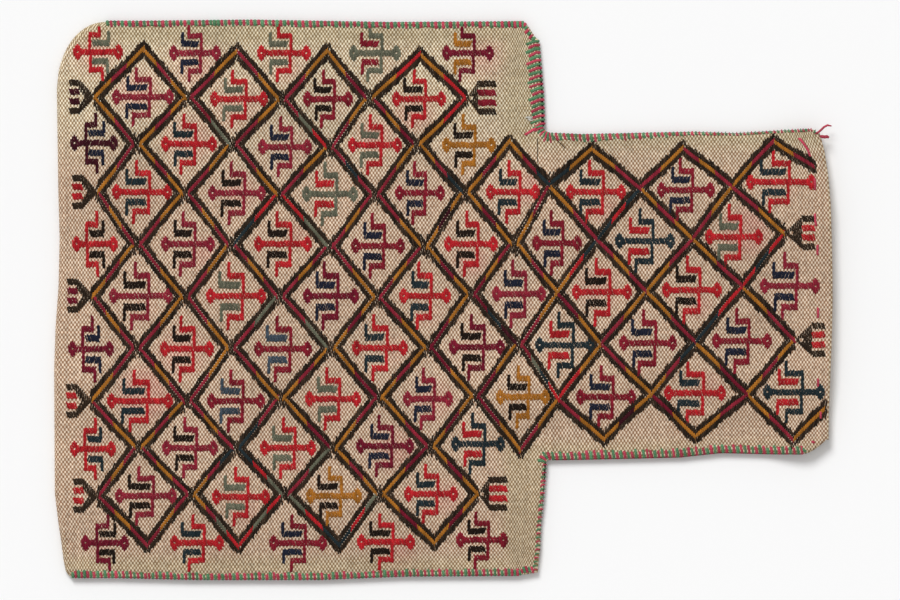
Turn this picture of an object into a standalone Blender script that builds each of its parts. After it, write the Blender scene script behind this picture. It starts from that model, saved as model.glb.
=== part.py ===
"""A woven salt bag lying flat and empty: one cloth folded at the base, with overcast seams up both sides.

+X runs from the base fold to the mouth, +Y across the bag, +Z up from the face it lies on. Units are metres.
The cloth is drawn flat, as two level layers joined at the base fold, gets its raised pattern, and then settles:
the layers close on each other at the seams and at the base, and stay apart inside the pocket and the neck.
"""

import math

import bmesh
import bpy
from mathutils import Vector
from mathutils.geometry import delaunay_2d_cdt

# Outline of the bag, seen from above
BAG_LENGTH = 0.560
BODY_LENGTH = 0.3526
BODY_WIDTH = 0.402
NECK_WIDTH = 0.2335
NECK_OFFSET = 0.0043  # the neck was woven a little to one side of the middle
UPPER_BASE_CORNER = (0.035, 0.049)  # how much the curled corner takes off along X and along Y
LOWER_BASE_CORNER = (0.007, 0.040)
SHOULDER_CORNER = (0.011, 0.012)
INNER_CORNER = 0.005
MOUTH_CORNER = (0.015, 0.010)  # cut off the lower corner of the mouth
MOUTH_NOTCH = (0.003, 0.002)  # and off the upper one
MOUTH_BOW = 0.003

# Thickness of the cloth, and how far apart its layers lie
CLOTH = 0.002
POCKET_GAP = 0.0076
BASE_GAP = 0.003
SEAM_GAP = 0.0003
SAG = 0.060  # from a seam to where the layers are fully apart
HEM = 0.014
HEM_GAP = 0.0006
MOUTH_CLEAR = 0.0048
MOUTH_FLARE = 0.050  # the layers open towards the hems over this length
HEM_LEVEL = 0.0196  # and are fully open this far before the mouth
SUPPORT_PITCH = 0.050  # between the points that carry the cloth's slopes
MERGE = 0.00001  # outline points closer than this are one point
LEVEL_STRIP = 0.001  # a seam starts this far past the bend of the base fold

# Overcast seams: a thread wound round both edges, over a cord at the shoulders
STITCH_REACH = 0.005
THREAD = 0.0012
SEAM_LIFT = 0.0015  # the thread under the back layer lifts it at the seams
LIFT_IN = 0.025
RIB_PITCH = 0.0160
RIB_BULGE = 0.0005
CORD = 0.0016
FIT = 0.0003

# The raised pattern: diamond lattice, hooked crosses and combs
RELIEF = 0.0008
LATTICE_HALF_X = 0.0332
LATTICE_MARGIN = 0.020  # from the side seams to the outermost rows
NECK_MARGIN = 0.00935  # and from the neck seams; the rows lie a little closer in the neck
LATTICE_START = 0.0275  # from the base fold to the first lattice corners
LATTICE_MIDDLE = 0.0029  # how far the middle row lies off the body's middle
NECK_MIDDLE = 0.0065
BAND = 0.0105
BODY_COLUMNS = 8
NECK_COLUMNS = 15
ROWS = 10
NECK_ROWS = (2, 8)
MOTIF_UNIT = 0.00072
COMB_REACH = 0.0165
SEAM_MARGIN = 0.0065  # the raised work stops this far from a seam
TAIL = 0.001

# What follows from the sizes above
BASE_X = -BAG_LENGTH / 2
SHOULDER_X = BASE_X + BODY_LENGTH
HEM_RADIUS = (CLOTH + HEM_GAP) / 2
MOUTH_X = BAG_LENGTH / 2 - HEM_RADIUS - CLOTH / 2  # where the hem turns in
SIDE_Y = BODY_WIDTH / 2
NECK_TOP = NECK_OFFSET + NECK_WIDTH / 2
NECK_BOTTOM = NECK_OFFSET - NECK_WIDTH / 2
HEM_STACK = CLOTH + HEM_GAP
MOUTH_GAP = MOUTH_CLEAR + 2 * HEM_STACK
FLAT_HEIGHT = 2 * CLOTH + MOUTH_GAP
FOLD_RADIUS = (FLAT_HEIGHT - CLOTH) / 2
FOLD_REACH = FOLD_RADIUS + CLOTH / 2
LATTICE_X = BASE_X + LATTICE_START
LATTICE_HALF_Y = (BODY_WIDTH - 2 * LATTICE_MARGIN) / ROWS
NECK_HALF_Y = (NECK_WIDTH - 2 * NECK_MARGIN) / (NECK_ROWS[1] - NECK_ROWS[0])


def material(name, colour, roughness):
    """A plain Principled material."""
    made = bpy.data.materials.new(name)
    made.use_nodes = True
    shader = made.node_tree.nodes["Principled BSDF"]
    shader.inputs["Base Color"].default_value = (*colour, 1)
    shader.inputs["Roughness"].default_value = roughness
    shader.inputs["Metallic"].default_value = 0
    return made


def add_object(name, mesh, finish, collection):
    made = bpy.data.objects.new(name, mesh)
    made.data.materials.clear()
    made.data.materials.append(finish)
    collection.objects.link(made)
    return made


def smooth(share):
    """0 below 0, 1 above 1, and an even S between."""
    share = min(max(share, 0), 1)
    return share * share * (3 - 2 * share)


def blend(a, b, share):
    return a + (b - a) * share


# Outline

def arc(centre, radii, start, end, steps):
    """Points of a round corner from one angle to another, in degrees."""
    turns = [math.radians(start + (end - start) * k / steps) for k in range(steps + 1)]
    return [Vector((centre[0] + radii[0] * math.cos(t), centre[1] + radii[1] * math.sin(t))) for t in turns]


def fold_edge():
    """The base fold, from the upper side seam round to the lower one."""
    rx, ry = UPPER_BASE_CORNER
    upper = arc((BASE_X + rx, SIDE_Y - ry), (rx, ry), 90, 180, 6)
    rx, ry = LOWER_BASE_CORNER
    lower = arc((BASE_X + rx, -SIDE_Y + ry), (rx, ry), 180, 270, 5)
    return upper + [Vector((BASE_X, y * SIDE_Y)) for y in (0.5, 0.2, -0.1, -0.4)] + lower


def side_edge(sign):
    """One long side with its shoulder corner, from the base to the shoulder; sign 1 is the upper side."""
    corner = UPPER_BASE_CORNER if sign > 0 else LOWER_BASE_CORNER
    start = Vector((BASE_X + corner[0], sign * SIDE_Y))
    sewn = start + Vector((FOLD_REACH + LEVEL_STRIP, 0))
    turn = Vector((SHOULDER_X - SHOULDER_CORNER[0], sign * SIDE_Y))
    end = Vector((SHOULDER_X - 0.002, sign * (SIDE_Y - SHOULDER_CORNER[1])))
    return [start] + [sewn.lerp(turn, k / 4) for k in range(5)] + [end]


def shoulder_edge(sign):
    neck = NECK_TOP if sign > 0 else NECK_BOTTOM
    start = Vector((SHOULDER_X - 0.002, sign * (SIDE_Y - SHOULDER_CORNER[1])))
    end = Vector((SHOULDER_X, neck + sign * INNER_CORNER))
    return [start, start.lerp(end, 0.5), end]


def neck_edge(sign):
    neck = NECK_TOP if sign > 0 else NECK_BOTTOM
    corner = MOUTH_CORNER if sign < 0 else MOUTH_NOTCH
    start = Vector((SHOULDER_X + INNER_CORNER, neck))
    turn = Vector((MOUTH_X - MOUTH_BOW - corner[0], neck))
    end = Vector((MOUTH_X - MOUTH_BOW, neck - sign * corner[1]))
    flare = Vector((MOUTH_X - MOUTH_FLARE, neck))
    rising = [flare.lerp(turn, k / 4) for k in range(4)]
    return [start, start.lerp(flare, 0.5), *rising, turn, end]


def mouth_edge():
    """The mouth from the upper corner to the lower one, bowed outwards."""
    top = neck_edge(1)[-1]
    bottom = neck_edge(-1)[-1]
    steps = 6
    points = [top.lerp(bottom, k / steps) for k in range(steps + 1)]
    for k, point in enumerate(points):
        point.x += MOUTH_BOW * math.sin(math.pi * k / steps)
    return points


SEAMS = {
    "side_overcast_upper": side_edge(1),
    "shoulder_overcast_upper": shoulder_edge(1),
    "neck_overcast_upper": neck_edge(1),
    "side_overcast_lower": side_edge(-1),
    "shoulder_overcast_lower": shoulder_edge(-1),
    "neck_overcast_lower": neck_edge(-1),
}


# How the cloth settles

def seam_distance(point):
    """Distance in plan from a point to the nearest sewn edge."""
    nearest = BAG_LENGTH
    for edge in SEAMS.values():
        for a, b in zip(edge, edge[1:]):
            run = b - a
            share = min(max((point - a).dot(run) / run.length_squared, 0), 1)
            nearest = min(nearest, (point - a - run * share).length)
    return nearest


def layer_heights(x, y):
    """Where the under side of the back layer and the upper side of the front layer come to lie."""
    inward = seam_distance(Vector((x, y)))
    hemmed = smooth((x - (MOUTH_X - MOUTH_FLARE)) / (MOUTH_FLARE - HEM_LEVEL))
    from_base = smooth((x - BASE_X) / SAG)
    apart = blend(blend(BASE_GAP, POCKET_GAP, from_base), MOUTH_GAP, hemmed)
    closed = blend(SEAM_GAP, 2 * HEM_STACK + SEAM_GAP, hemmed)
    lift = SEAM_LIFT * (1 - smooth(inward / LIFT_IN))
    gap = blend(closed, apart, smooth(inward / SAG))
    return lift, lift + 2 * CLOTH + gap


def settle(co):
    """Moves a point of the flat cloth to its height on the settled bag."""
    bottom, top = layer_heights(co.x, co.y)
    hem_zone = co.x > MOUTH_X - MOUTH_BOW - MOUTH_NOTCH[0] - HEM - LEVEL_STRIP
    upper_from = FLAT_HEIGHT / 2 if hem_zone else FLAT_HEIGHT - CLOTH
    lower_to = FLAT_HEIGHT / 2 if hem_zone else CLOTH
    if co.z >= upper_from:
        co.z += top - FLAT_HEIGHT
    elif co.z <= lower_to:
        co.z += bottom
    else:
        share = (co.z - lower_to) / (upper_from - lower_to)
        co.z = blend(CLOTH + bottom, top - CLOTH, share)


# The folded cloth

def inset_outline(distance):
    """The plain outline of body and neck, drawn in by a distance."""
    left, right = BASE_X + distance, MOUTH_X - distance
    side = SIDE_Y - distance
    corners = [
        (left, -side), (SHOULDER_X - distance, -side), (SHOULDER_X - distance, NECK_BOTTOM + distance),
        (right, NECK_BOTTOM + distance), (right, NECK_TOP - distance),
        (SHOULDER_X - distance, NECK_TOP - distance), (SHOULDER_X - distance, side), (left, side),
    ]
    corners = [Vector(c) for c in corners]
    found = []
    for a, b in zip(corners, corners[1:] + corners[:1]):
        parts = math.ceil((b - a).length / SUPPORT_PITCH)
        found += [a.lerp(b, k / parts) for k in range(parts)]
    return found


def beside_seams():
    """Places just inside the overcast threads, where both skins of a layer need a point to stay level."""
    found = []
    for name, edge in SEAMS.items():
        way = 1 if name.endswith("upper") else -1
        for place, outward, _ in stations(edge, SUPPORT_PITCH, (0.016, 0.004)):
            found.append(place - outward * way * (SEAM_MARGIN - FIT))
    return found


def anticlockwise(loop):
    """The loop turned to run anticlockwise, because the triangulation reads its left side as inside."""
    area = sum(a.x * b.y - b.x * a.y for a, b in zip(loop, loop[1:] + loop[:1]))
    return loop if area > 0 else loop[::-1]


def fill(loops, regions=()):
    """Triangulates inside the first loop. Gives points, triangles and, for each, the regions that hold it."""
    points = []
    known = {}

    def index_of(point):
        """The point's number; a point within MERGE of a known one is that one."""
        cell = (round(point.x / MERGE), round(point.y / MERGE))
        for dx in (0, -1, 1):
            for dy in (0, -1, 1):
                if (cell[0] + dx, cell[1] + dy) in known:
                    return known[(cell[0] + dx, cell[1] + dy)]
        known[cell] = len(points)
        points.append(Vector(point))
        return known[cell]

    faces = [[index_of(point) for point in anticlockwise(loop)] for loop in list(loops) + list(regions)]
    for point in beside_seams():
        index_of(point)
    made = delaunay_2d_cdt(points, [], faces, 1, MERGE, True)
    first_region = len(loops)
    inside = [{k - first_region for k in held if k >= first_region} for held in made[5]]
    keep = [k for k, held in enumerate(made[5]) if 0 in held]
    return made[0], [made[2][k] for k in keep], [inside[k] for k in keep], made[3]


def level_rim():
    """The edge of the level part of a layer: the outline, drawn in along the base fold by the fold's radius."""
    fold = fold_edge()
    drawn_in = []
    for k, point in enumerate(fold):
        before = fold[max(k - 1, 0)]
        after = fold[min(k + 1, len(fold) - 1)]
        along = (after - before).normalized()
        outward = Vector((along.y, -along.x))
        drawn_in.append((point - outward * FOLD_REACH, outward))
    return drawn_in


def cloth_sheet():
    """The middle surface of the cloth: back layer, base fold, front layer and the two hems turned in."""
    bm = bmesh.new()
    folded = level_rim()
    upper = side_edge(1) + shoulder_edge(1)[1:] + neck_edge(1)
    lower = side_edge(-1) + shoulder_edge(-1)[1:] + neck_edge(-1)
    mouth = mouth_edge()
    rim = [p for p, _ in folded] + lower[1:] + mouth[::-1][1:-1] + upper[1:][::-1]
    supports = [inset_outline(SAG * share) for share in (0.45, 1.0)]
    hem_patch = mouth + [p - Vector((HEM, 0)) for p in mouth[::-1]]
    points, triangles, _, _ = fill([rim] + supports + [hem_patch])
    for height, facing in ((CLOTH / 2, -1), (FLAT_HEIGHT - CLOTH / 2, 1)):
        layer = [bm.verts.new((p.x, p.y, height)) for p in points]
        for triangle in triangles:
            bm.faces.new([layer[k] for k in triangle][::facing])
    fold_steps = 6
    rows = []
    for step in range(fold_steps + 1):
        turn = math.pi * (0.5 - step / fold_steps)
        out = FOLD_RADIUS * math.cos(turn)
        up = FLAT_HEIGHT / 2 + FOLD_RADIUS * math.sin(turn)
        rows.append([bm.verts.new((*(p + n * out), up)) for p, n in folded])
    add_strips(bm, rows)
    hem_steps = 4
    for height, side in ((FLAT_HEIGHT - CLOTH / 2, -1), (CLOTH / 2, 1)):
        rows = []
        for step in range(hem_steps + 1):
            turn = math.pi * step / hem_steps
            out = HEM_RADIUS * math.sin(turn)
            up = height + side * HEM_RADIUS * (1 - math.cos(turn))
            rows.append([bm.verts.new((p.x + out, p.y, up)) for p in mouth])
        rows.append([bm.verts.new((p.x - HEM, p.y, height + side * 2 * HEM_RADIUS)) for p in mouth])
        add_strips(bm, rows)
    bmesh.ops.remove_doubles(bm, verts=bm.verts, dist=1e-6)
    bmesh.ops.recalc_face_normals(bm, faces=bm.faces)
    mesh = bpy.data.meshes.new("cloth_sheet")
    bm.to_mesh(mesh)
    bm.free()
    return mesh


def add_strips(bm, rows):
    """Quads between each row of vertices and the next."""
    for row, following in zip(rows, rows[1:]):
        for k in range(len(row) - 1):
            bm.faces.new((row[k], row[k + 1], following[k + 1], following[k]))


# The raised pattern

def lattice_point(column, row):
    if column > BODY_COLUMNS:
        middle, half = NECK_MIDDLE, NECK_HALF_Y
    else:
        middle, half = LATTICE_MIDDLE, LATTICE_HALF_Y
    return Vector((LATTICE_X + column * LATTICE_HALF_X, middle + (ROWS / 2 - row) * half))


def kept_inside(point):
    """The point, or the nearest place to it that lies clear of the seams, the hems and the base fold."""
    point = point.copy()
    bend = FOLD_REACH + FIT * 3
    if point.x > SHOULDER_X - SEAM_MARGIN:
        low, high = NECK_BOTTOM + SEAM_MARGIN, NECK_TOP - SEAM_MARGIN
    else:
        low, high = SEAM_MARGIN - SIDE_Y, SIDE_Y - SEAM_MARGIN
    point.x = min(max(point.x, BASE_X + bend), MOUTH_X - SEAM_MARGIN - MOUTH_BOW)
    point.y = min(max(point.y, low), high)
    rx, ry = UPPER_BASE_CORNER
    centre = Vector((BASE_X + rx, SIDE_Y - ry))
    off = point - centre
    if off.x < 0 < off.y:
        share = math.hypot(off.x / (rx - bend), off.y / (ry - bend))
        if share > 1:
            point = centre + off / share
    return point


def lattice_bands():
    """The pairs of lattice corners that a band joins."""
    bands = []
    first, last = NECK_ROWS
    for column in range(NECK_COLUMNS + 1):
        for row in range(ROWS + 1):
            if (column + row) % 2 == 0:
                continue
            for other in (row - 1, row + 1):
                in_body = column < BODY_COLUMNS and 0 <= other <= ROWS
                in_neck = column < NECK_COLUMNS and first <= row <= last and first <= other <= last
                at_end = column == NECK_COLUMNS and (row, other) in ((first, first + 1), (last, last - 1))
                if in_body or in_neck or at_end:
                    bands.append(((column, row), (column + 1, other)))
    return bands


def band_outlines():
    """One six-sided outline for each band, which meets its neighbours edge to edge round the lattice corners."""
    bands = lattice_bands()
    meeting = {}
    for a, b in bands:
        meeting.setdefault(a, set()).add(b)
        meeting.setdefault(b, set()).add(a)

    def side_points(corner, towards):
        """The outline points to the right and left of a band, where it leaves a corner."""
        here = lattice_point(*corner)
        run = (lattice_point(*towards) - here).normalized()
        found = []
        for side in (-1, 1):
            across = Vector((-run.y, run.x)) * side
            turns = []
            for other in meeting[corner] - {towards}:
                way = (lattice_point(*other) - here).normalized()
                turns.append((side * run.angle_signed(way, 0) % (2 * math.pi), way))
            turns = [((2 * math.pi - t) % (2 * math.pi), way) for t, way in turns]
            if turns:
                angle, _ = min(turns, key=lambda turn: turn[0])
                found.append(here + across * BAND / 2 + run * BAND / 2 / math.tan(angle / 2))
            else:
                found.append(here + across * BAND / 2)
        return found

    outlines = []
    for a, b in bands:
        right_a, left_a = side_points(a, b)
        left_b, right_b = side_points(b, a)
        outlines.append([lattice_point(*a), right_a, right_b, lattice_point(*b), left_b, left_a])
    return outlines


def motif_outline(centre, mirrored):
    """A hooked cross: a shaft along X with a diamond at each end, crossed by a line that ends in two hooks."""
    half = [
        (28, 0), (23.5, 7), (19, 2.6), (8, 2.6), (8, 21), (-5.5, 29), (-9, 16.5), (4, 15.5), (4, 2.6),
        (-19, 2.6), (-23.5, 7),
    ]
    turn = -1 if mirrored else 1
    upper = [(x * turn, y) for x, y in half]
    lower = [(x * turn, -y) for x, y in ((-28, 0), *half[:0:-1])]
    return [centre + Vector(p) * MOTIF_UNIT for p in upper + lower]


def motif_outlines():
    found = []
    first, last = NECK_ROWS
    for row in range(ROWS + 1):
        for column in range(row % 2, NECK_COLUMNS + 1, 2):
            if column <= BODY_COLUMNS or first < row < last:
                found.append(motif_outline(lattice_point(column, row), column == 0))
    return found


def comb_outline(corner, way):
    """A comb beyond an outer corner of the lattice: a wedge that carries three teeth. way is 1 towards +X."""
    start = lattice_point(*corner) + Vector((way * BAND * 0.35, 0))
    reach = COMB_REACH
    profile = [(0, 0.001), (0.55, 0.011), (1, 0.0105), (0.65, 0.006), (0.65, 0.0018), (1, 0.0018)]
    upper = [(x * reach * way, y) for x, y in profile]
    lower = [(x, -y) for x, y in upper[::-1]]
    return [start + Vector(p) for p in upper + lower]


def comb_outlines():
    first, last = NECK_ROWS
    left = [comb_outline((0, row), -1) for row in range(1, ROWS, 2)]
    body = [comb_outline((BODY_COLUMNS, row), 1) for row in (1, ROWS - 1)]
    neck = [comb_outline((NECK_COLUMNS, row), 1) for row in (first + 2, last - 2)]
    return left + body + neck


def raise_pattern(bm):
    """Replaces the level upper face of the front layer by one that carries the raised pattern."""
    front = [f for f in bm.faces if f.normal.z > 0.98 and f.calc_center_median().z > FLAT_HEIGHT - RELIEF]
    chosen = set(front)
    border = {}
    for face in front:
        for loop in face.loops:
            if loop.link_loop_radial_next.face not in chosen:
                border[loop.vert] = loop.link_loop_next.vert
    start = next(iter(border))
    rim = [start]
    while border[rim[-1]] is not start:
        rim.append(border[rim[-1]])
    bmesh.ops.delete(bm, geom=front, context="FACES_KEEP_BOUNDARY")
    outlines = band_outlines() + motif_outlines() + comb_outlines()
    pattern = [[kept_inside(p) for p in outline] for outline in outlines]
    points, triangles, held, origins = fill([[v.co.xy for v in rim]], pattern)
    placed = [
        rim[from_rim[0]] if (from_rim := [k for k in origin if k < len(rim)])
        else bm.verts.new((p.x, p.y, FLAT_HEIGHT))
        for p, origin in zip(points, origins)
    ]
    raised = []
    for triangle, regions in zip(triangles, held):
        face = bm.faces.new([placed[k] for k in triangle])
        if regions:
            raised.append(face)
    lifted = bmesh.ops.extrude_face_region(bm, geom=raised)["geom"]
    bmesh.ops.delete(bm, geom=[f for f in raised if f.is_valid], context="FACES")
    for vert in lifted:
        if isinstance(vert, bmesh.types.BMVert):
            vert.co.z += RELIEF


def build_cloth(finish, collection):
    """The folded cloth as one closed body."""
    sheet = add_object("woven_cloth", cloth_sheet(), finish, collection)
    solid = sheet.modifiers.new("thickness", "SOLIDIFY")
    solid.thickness = CLOTH
    solid.offset = 0
    solid.use_even_offset = True
    bpy.context.view_layer.update()
    graph = bpy.context.evaluated_depsgraph_get()
    bm = bmesh.new()
    bm.from_object(sheet, graph)
    sheet.modifiers.clear()
    raise_pattern(bm)
    for vert in bm.verts:
        settle(vert.co)
    bmesh.ops.triangulate(bm, faces=bm.faces)
    bmesh.ops.recalc_face_normals(bm, faces=bm.faces)
    bm.to_mesh(sheet.data)
    bm.free()
    return sheet


# Seams, cords and loose thread

def trimmed(edge, start, end):
    """The edge's points with a length taken off at each end."""
    points = list(edge)
    for length in (start, end):
        while (points[1] - points[0]).length < length:
            length -= (points[1] - points[0]).length
            del points[0]
        points[0] = points[0].lerp(points[1], length / (points[1] - points[0]).length)
        points.reverse()
    return points


def stations(edge, pitch, trim=(0, 0)):
    """Places along an edge and at each of its points, with the outward direction and the cloth's heights."""
    points = trimmed(edge, *trim)
    sides = []
    for a, b in zip(points, points[1:]):
        run = (b - a).normalized()
        sides.append(Vector((-run.y, run.x)))
    found = []
    for k, (a, b) in enumerate(zip(points, points[1:])):
        parts = max(1, round((b - a).length / pitch))
        ends = (layer_heights(*a), layer_heights(*b))
        for step in range(parts):
            share = step / parts
            mitre = sides[k]
            if step == 0 and k > 0:
                mitre = (sides[k - 1] + sides[k]) / (1 + sides[k - 1].dot(sides[k]))
            found.append((a.lerp(b, share), mitre, [blend(*pair, share) for pair in zip(*ends)]))
    found.append((points[-1], sides[-1], list(layer_heights(*points[-1]))))
    return found


def loft(name, rings):
    """A closed mesh through rings of as many points each, with an end face on the first and last."""
    bm = bmesh.new()
    rows = [[bm.verts.new(p) for p in ring] for ring in rings]
    for row in rows:
        row.append(row[0])
    add_strips(bm, rows)
    bm.faces.new(rows[0][:-1])
    bm.faces.new(rows[-1][:-1])
    bmesh.ops.recalc_face_normals(bm, faces=bm.faces)
    mesh = bpy.data.meshes.new(name)
    bm.to_mesh(mesh)
    bm.free()
    return mesh


def seam_ring(place, outward, section):
    """A ring of the section points (distance outwards, height) at a place on the edge."""
    return [Vector((*(place + outward * out), up)) for out, up in section]


def build_seam(name, edge, way, inside, trim, finish, collection, cutters):
    """Ribs of thread wound round both layers' edges: a ribbed bar, grooved for the cloth and the cord."""
    rings = []
    grooves = []
    places = stations(edge, RIB_PITCH / 2, trim)
    for k, (place, outward, (bottom, top)) in enumerate(places):
        outward = outward * way
        inner = place - outward * STITCH_REACH
        inner_bottom = min(bottom, layer_heights(*inner)[0])
        inner_top = top + layer_heights(*inner)[1] - layer_heights(*place)[1]
        bulge = RIB_BULGE if k % 2 else 0
        outer = inside + THREAD
        over = top + FIT + THREAD
        rings.append(seam_ring(place, outward, [
            (-STITCH_REACH, 0), (outer + bulge / 2, 0), (outer + bulge, over + bulge),
            (-STITCH_REACH, inner_top + FIT + THREAD * 0.8),
        ]))
        past = STITCH_REACH + 0.001
        grooves.append(seam_ring(place, outward, [
            (-past, inner_bottom - FIT * 1.3), (inside, bottom - FIT),
            (inside, top + FIT), (-past, inner_top + FIT * 1.7),
        ]))
    bar = add_object(name, loft(name, rings), finish, collection)
    first = grooves[0][0] - grooves[1][0]
    last = grooves[-1][0] - grooves[-2][0]
    for ring, step in ((grooves[0], first), (grooves[-1], last)):
        for point in ring:
            point += Vector((step.x, step.y, 0)).normalized() * 0.001
    cutter = add_object(name + "_groove", loft(name + "_groove", grooves), finish, cutters)
    cutter.hide_render = True
    cutter.display_type = "WIRE"
    cut = bar.modifiers.new("groove", "BOOLEAN")
    cut.object = cutter
    cut.operation = "DIFFERENCE"
    cut.solver = "EXACT"
    return bar


def build_tube(name, points, diameter, finish, collection):
    """A round cord or thread along the points."""
    curve = bpy.data.curves.new(name, "CURVE")
    curve.dimensions = "3D"
    curve.bevel_depth = diameter / 2
    curve.bevel_resolution = 2
    curve.use_fill_caps = True
    spline = curve.splines.new("POLY")
    spline.points.add(len(points) - 1)
    for target, point in zip(spline.points, points):
        target.co = (*point, 1)
    return add_object(name, curve, finish, collection)


def build_shoulder_cord(name, edge, way, finish, collection):
    """The dark cord that the shoulder stitches are wound over, along both layers' edges."""
    points = []
    for place, outward, (bottom, top) in stations(edge, 0.02, (0.004, 0.004)):
        points.append(Vector((*(place + outward * way * (FIT + CORD / 2)), (bottom + top) / 2)))
    return build_tube(name, points, CORD, finish, collection)


def build_tails(finish, collection):
    """Two ends of the seam thread, left loose at the upper corner of the mouth."""
    corner = SEAMS["neck_overcast_upper"][-1]
    height = layer_heights(*corner)[1] + FIT + THREAD
    long_route = (
        (-0.0042, 0.0046, -0.0030), (-0.0016, 0.0062, -0.0034), (0.0014, 0.0068, -0.0040), (0.0046, 0.0060, -0.0050),
    )
    short_route = ((-0.0006, 0.0009, -0.0038), (0.0016, 0.0010, -0.0043), (0.0040, 0.0013, -0.0050))
    for name, route in (("thread_tail_long", long_route), ("thread_tail_short", short_route)):
        points = [Vector((corner.x + x, corner.y + y, height + z)) for x, y, z in route]
        build_tube(name, points, TAIL, finish, collection)


def main():
    for old in list(bpy.data.objects):
        bpy.data.objects.remove(old)
    bag = bpy.data.collections.new("salt_bag")
    cutters = bpy.data.collections.new("cutters")
    bpy.context.scene.collection.children.link(bag)
    bpy.context.scene.collection.children.link(cutters)
    wool = material("undyed_wool", (0.56, 0.46, 0.33), 0.95)
    seam_thread = material("seam_thread", (0.45, 0.16, 0.16), 0.85)
    dark_cord = material("dark_cord", (0.03, 0.025, 0.022), 0.9)
    pink_thread = material("pink_thread", (0.72, 0.16, 0.24), 0.85)
    build_cloth(wool, bag)
    corner_trim = STITCH_REACH + 0.0025
    for sign, side in ((1, "upper"), (-1, "lower")):
        edges = (
            ("side_overcast_", FIT, (FOLD_REACH + 0.002, 0)),
            ("shoulder_overcast_", CORD + 2 * FIT, (corner_trim, 0)),
            ("neck_overcast_", FIT, (0.002, 0.0045)),
        )
        for stem, inside, trim in edges:
            name = stem + side
            build_seam(name, SEAMS[name], sign, inside, trim, seam_thread, bag, cutters)
        build_shoulder_cord("shoulder_cord_" + side, SEAMS["shoulder_overcast_" + side], sign, dark_cord, bag)
    build_tails(pink_thread, bag)


main()
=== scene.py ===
"""The looks of the woven salt bag: weave, brocaded floats of yarn, overcast stitches, cords and loose thread.

Metres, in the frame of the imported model: +X towards the mouth, +Y across the bag, +Z up.
Places read off the photograph are in its pixels, and spot() turns them into metres.
"""

import math
import random
from functools import lru_cache

import bmesh
import bpy
import numpy as np
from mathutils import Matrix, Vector
from mathutils.geometry import delaunay_2d_cdt


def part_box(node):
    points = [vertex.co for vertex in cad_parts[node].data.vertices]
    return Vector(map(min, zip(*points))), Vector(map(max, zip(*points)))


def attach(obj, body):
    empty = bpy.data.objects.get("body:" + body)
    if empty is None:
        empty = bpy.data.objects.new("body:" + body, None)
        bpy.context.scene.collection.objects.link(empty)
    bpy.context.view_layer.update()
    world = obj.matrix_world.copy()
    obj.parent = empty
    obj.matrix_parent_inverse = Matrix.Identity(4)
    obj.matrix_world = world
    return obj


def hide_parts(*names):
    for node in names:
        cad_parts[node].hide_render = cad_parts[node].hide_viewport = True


def groups(table):
    """Groups of numbers, written with commas inside a group and spaces between."""
    return [tuple(float(value) for value in group.split(",")) for group in table.split()]


def lines(table):
    return table.strip().splitlines()


def millimetres(table):
    """Two rows of a table for interp, in metres from millimetres."""
    return np.array(groups(table)).T / 1000


# The photograph
PIXEL = 0.560 / 775  # metres to a pixel: the bag is 775 pixels long
PHOTO_MIDDLE = (444.5, 300)  # the pixel over the frame's origin
PHOTO_SIZE = (900, 600)
CAMERA_HEIGHT = 1.6

# The bag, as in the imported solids
BODY_LENGTH = 0.3526
NECK_TOP = 0.12105
NECK_BOTTOM = -0.11245
SIDE_Y = 0.201
UPPER_BASE_CORNER = (0.035, 0.049)
LOWER_BASE_CORNER = (0.007, 0.040)
SHOULDER_CORNERS = {1: (0.011, 0.012), -1: (0.016, 0.005)}
INNER_CORNER = 0.005
MOUTH_CORNER = (0.015, 0.010)
MOUTH_NOTCH = (0.003, 0.002)
MOUTH_BOW = 0.003
MOUTH_MIDDLE = 0.0043
MOUTH_WIDTH = 0.2335
BOW_REACH = 0.040
CLOTH = 0.002
HEM = 0.014
HEM_GAP = 0.0006
HEM_EDGE = 0.0004  # how far the middle of a hem's edge stands out
HEM_STEP = 0.001
HEM_LEVEL = 0.0196
MOUTH_CLEAR = 0.0048
MOUTH_FLARE = 0.050
POCKET_GAP = 0.0076
BASE_GAP = 0.003
SEAM_GAP = 0.0003
SAG = 0.060
SEAM_LIFT = 0.0015
LIFT_IN = 0.025
HEM_STACK = CLOTH + HEM_GAP
HEM_ROLL = (CLOTH + HEM_GAP) / 2 + CLOTH / 2

# The weave
COLUMN = 0.00125
ROW = 0.0018
PIP_RISE = 0.00017  # how far a thread rises and sinks where it crosses another
FOLD_REACH = 0.0035
FOLD_FADE = 0.010
SEAM_BULGE = 0.0005
RIM_STEPS = 4
FOLD_STEPS = 9  # weave columns round the fold
LINING_GRID = 0.012
RIPPLE = 0.0003

# Yarn of the raised pattern
STROKE_PITCH = 1.75  # pixels between neighbouring floats
STROKE_WIDTH = 1.95
STROKE_RISE = 0.00055
STROKE_SUNK = 0.00028
STROKE_OVERLAP = 0.55  # pixels by which a float's sunk ends pass the shape that it fills
STROKE_SLOPE = 0.7  # pixels over which an end sinks
LONGEST_FLOAT = 9.5
SHORTEST_FLOAT = 1.2
LINE_HALF = 1.4  # half the width of a motif's thin lines, of two floats side by side
STRIPE_HALF = 1.95  # half the width of a band's coloured stripe
OUTLINE_REACH = {"body": 6.25, "neck": 5.9}  # how far its dark outlines reach from its middle
OUTLINE_WIDTH = 1.80
APEX_REACH = 7.0  # how far the outline reaches beyond an outer corner of the lattice
EDGE_MARGIN = -0.6  # negative: floats may pass the edge of the level front by this much
OUTLINE_TUCK = 0.6  # how far the outlines go in under the stripe
CROSSING_GAP = 3.2  # how far a stripe stays away from the middle of a crossing
BAND_LEAN = 1.8
BODY_END = 530  # the lattice crosses straight through beyond this pixel column

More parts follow.
